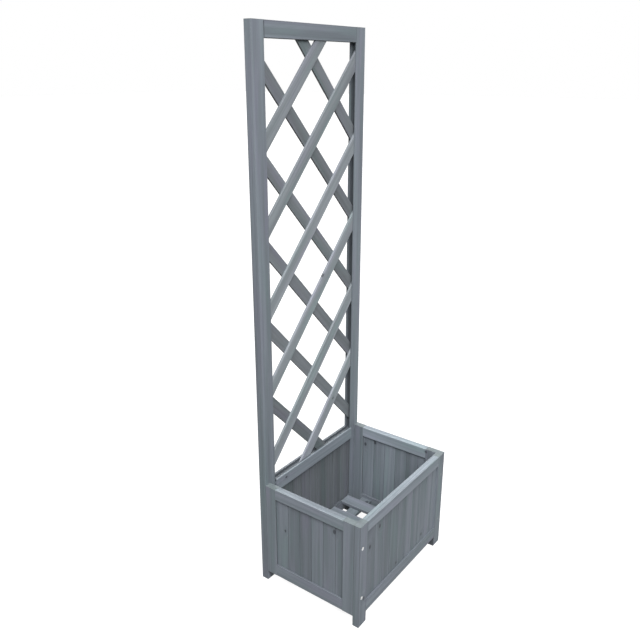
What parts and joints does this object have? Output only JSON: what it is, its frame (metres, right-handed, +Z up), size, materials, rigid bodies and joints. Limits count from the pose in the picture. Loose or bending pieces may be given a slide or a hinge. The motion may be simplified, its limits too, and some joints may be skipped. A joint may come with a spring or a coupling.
{
  "type": "planter with trellis",
  "caption": "Rectangular slatted wooden planter box on four short feet, with a tall diagonal lattice trellis framed between the rear corner posts.",
  "frame": {"origin": "floor level under the middle of the object", "axes": "+Z up, -Y towards the open front of the planter, the trellis along the back at +Y, +X to the right seen from the front"},
  "size_m": [0.4, 0.295, 1.315],
  "materials": {
    "frame_wood": "grey-blue stained planed softwood, matte",
    "board_wood": "grey-blue stained tongue and groove boards, matte",
    "lattice_wood": "grey-blue stained thin slats, matte",
    "floor_wood": "grey-blue stained rough slats, matte",
    "zinc_steel": "bright zinc"
  },
  "bodies": {
    "root": {"back_bottom_rail": "frame_wood", "back_planks": "board_wood", "floor_bearers": "floor_wood", "floor_slat_1": "floor_wood", "floor_slat_2": "floor_wood", "floor_slat_3": "floor_wood", "floor_slat_4": "floor_wood", "floor_slat_5": "floor_wood", "front_bottom_rail": "frame_wood", "front_plank_01": "board_wood", "front_plank_02": "board_wood", "front_plank_03": "board_wood", "front_plank_04": "board_wood", "front_plank_05": "board_wood", "front_plank_06": "board_wood", "front_plank_07": "board_wood", "front_plank_08": "board_wood", "front_plank_09": "board_wood", "front_plank_10": "board_wood", "front_top_rail": "frame_wood", "lattice_brads": "zinc_steel", "lattice_front_1": "lattice_wood", "lattice_front_2": "lattice_wood", "lattice_front_3": "lattice_wood", "lattice_front_4": "lattice_wood", "lattice_front_5": "lattice_wood", "lattice_front_6": "lattice_wood", "lattice_rear_1": "lattice_wood", "lattice_rear_2": "lattice_wood", "lattice_rear_3": "lattice_wood", "lattice_rear_4": "lattice_wood", "lattice_rear_5": "lattice_wood", "lattice_rear_6": "lattice_wood", "left_bottom_rail": "frame_wood", "left_front_stile": "frame_wood", "left_leg": "frame_wood", "left_plank_1": "board_wood", "left_plank_2": "board_wood", "left_plank_3": "board_wood", "left_plank_4": "board_wood", "left_plank_5": "board_wood", "left_plank_6": "board_wood", "left_post": "frame_wood", "left_rear_stile": "frame_wood", "left_top_rail": "frame_wood", "panel_screws": "zinc_steel", "right_bottom_rail": "frame_wood", "right_front_stile": "frame_wood", "right_leg": "frame_wood", "right_plank_1": "board_wood", "right_plank_2": "board_wood", "right_plank_3": "board_wood", "right_plank_4": "board_wood", "right_plank_5": "board_wood", "right_plank_6": "board_wood", "right_post": "frame_wood", "right_rear_stile": "frame_wood", "right_top_rail": "frame_wood", "trellis_bottom_rail": "frame_wood", "trellis_top_rail": "frame_wood"}
  },
  "joints": []
}
